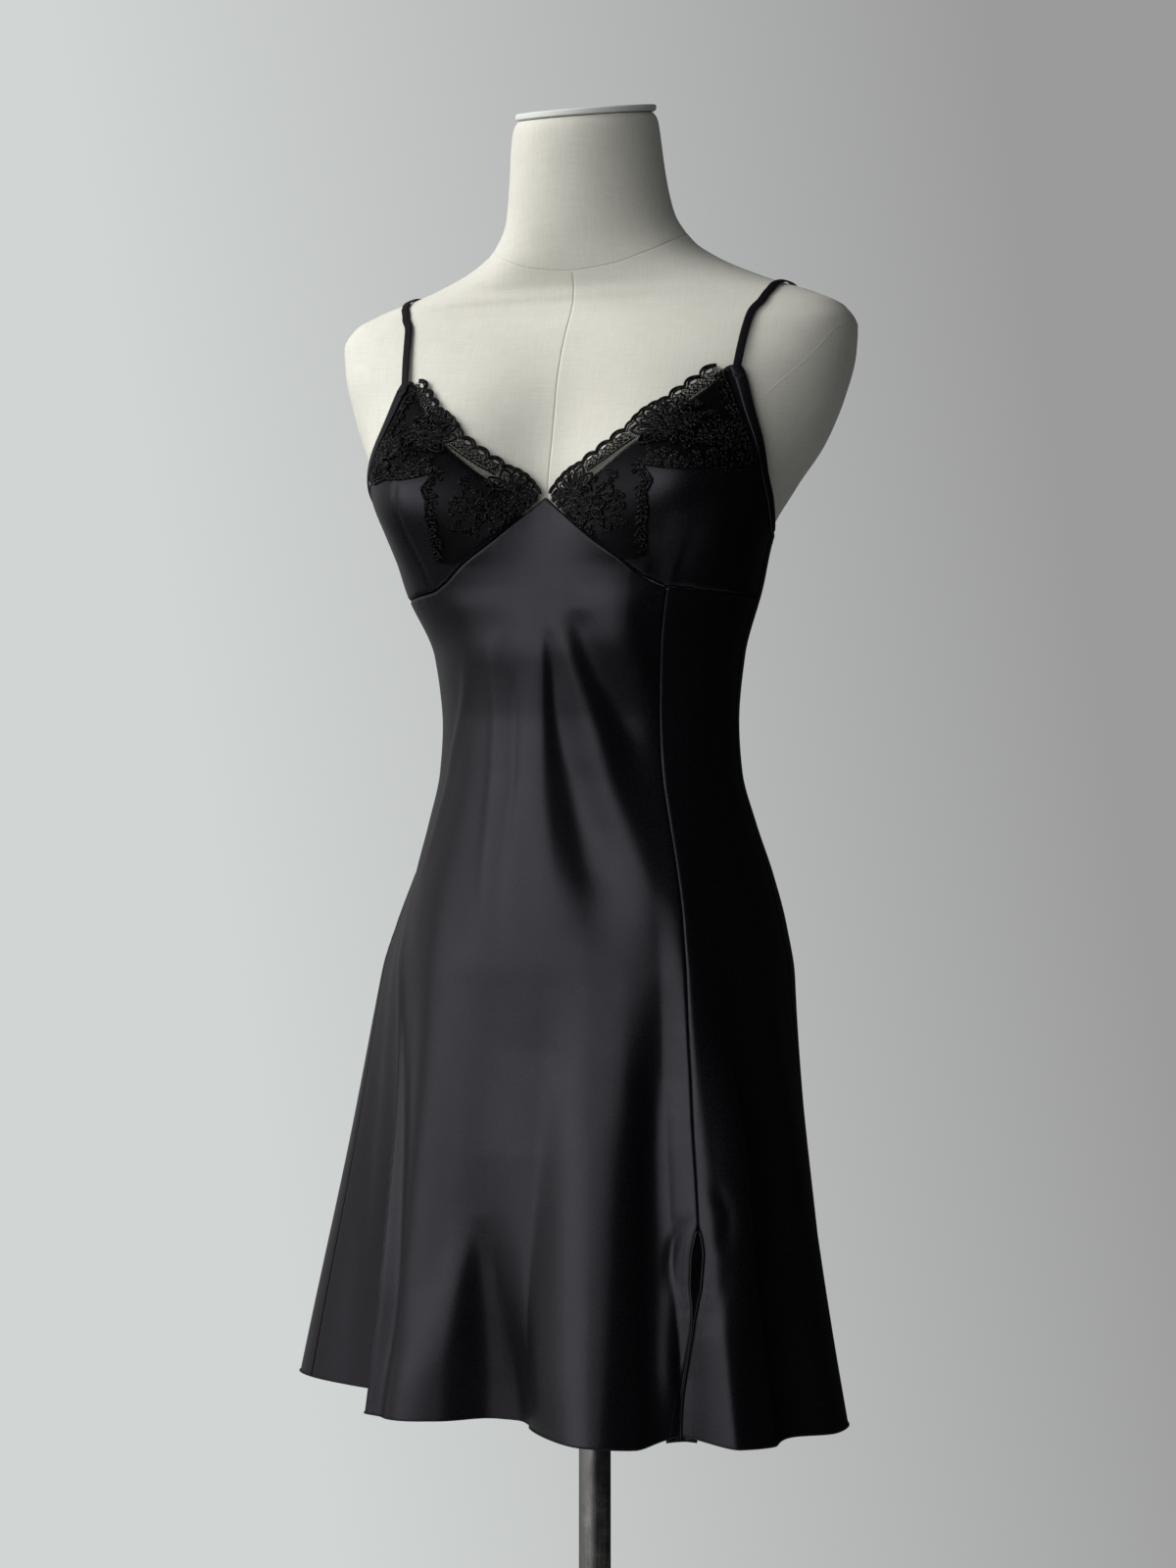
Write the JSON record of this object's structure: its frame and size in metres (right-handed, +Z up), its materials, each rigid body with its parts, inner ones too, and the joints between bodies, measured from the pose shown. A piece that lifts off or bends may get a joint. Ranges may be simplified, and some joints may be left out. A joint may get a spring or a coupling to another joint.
{
  "type": "slip dress on dress form",
  "caption": "Short slip dress with thin straps, lace cups and a side slit, worn by a limbless dress form on a pole with a round base.",
  "frame": {"origin": "on the floor under the pole, in the middle of the base plate's underside", "axes": "+Z up along the pole, -Y the way the form faces, +X to the wearer's left"},
  "size_m": [0.4829, 0.3923, 1.5179],
  "materials": {
    "satin": "black satin with a soft sheen",
    "lace": "black embroidered net",
    "linen": "off-white plain-woven linen, stretched tight",
    "cap_paint": "off-white paint, satin",
    "steel": "brushed, nearly polished"
  },
  "bodies": {
    "root": {"front_panel": "satin", "side_front_panel": "satin", "back_panel": "satin", "cup_left": "satin", "cup_right": "satin", "binding_left": "satin", "binding_right": "satin", "strap_left": "satin", "strap_right": "satin", "lace_left": "lace", "lace_right": "lace", "form_torso": "linen", "neck_cap": "cap_paint", "form_collar": "steel", "pole": "steel", "base_plate": "steel"}
  },
  "joints": []
}
